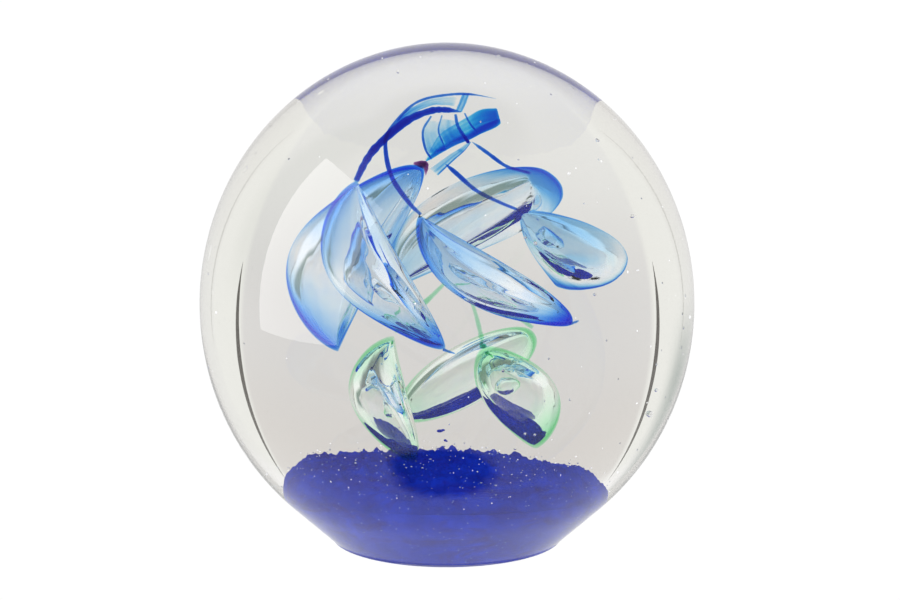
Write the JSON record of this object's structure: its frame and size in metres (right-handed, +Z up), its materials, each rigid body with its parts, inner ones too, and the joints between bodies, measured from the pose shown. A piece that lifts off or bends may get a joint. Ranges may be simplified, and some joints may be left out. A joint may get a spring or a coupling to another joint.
{
  "type": "paperweight",
  "caption": "Heavy clear glass ball with a flat ground base, a cobalt glass floor, and twisted rings of tinted air bubbles inside.",
  "frame": {"origin": "centre of the flat ground base", "axes": "+Z up through the axis of the ball; -Y faces the viewer, so blue_pod_2 and blue_pod_3 are at the front"},
  "size_m": [0.084, 0.084, 0.0856],
  "materials": {
    "clear_glass": "fire-polished clear crystal",
    "cobalt_glass": "frit-textured saturated cobalt glass",
    "blue_lining": "thin transparent blue lining of an air bubble",
    "green_lining": "thin transparent pale green lining of an air bubble",
    "blue_thread": "drawn transparent blue glass",
    "blue_film": "pale transparent blue film",
    "green_thread": "drawn transparent green glass"
  },
  "bodies": {
    "root": {"blue_pod_1": "blue_lining", "blue_pod_2": "blue_lining", "blue_pod_3": "blue_lining", "blue_pod_4": "blue_lining", "blue_pod_5": "blue_lining", "blue_thread_2": "blue_thread", "blue_thread_3": "blue_thread", "blue_thread_4": "blue_thread", "blue_thread_5": "blue_thread", "clear_body": "clear_glass", "cobalt_ground": "cobalt_glass", "crown_fold": "blue_film", "crown_panel_1": "blue_film", "crown_panel_2": "blue_film", "crown_rib_1": "blue_thread", "crown_rib_2": "blue_thread", "crown_rib_3": "blue_thread", "crown_rib_4": "blue_thread", "crown_stem": "blue_thread", "crown_veil": "blue_film", "frit_speck_1": "cobalt_glass", "frit_speck_2": "cobalt_glass", "green_pod_1": "green_lining", "green_pod_2": "green_lining", "green_pod_3": "green_lining", "green_thread_1": "green_thread", "green_thread_2": "green_thread", "green_thread_3": "green_thread", "lower_veil": "blue_film", "pod_tail_2": "blue_thread", "pod_tail_3": "blue_thread"}
  },
  "joints": []
}
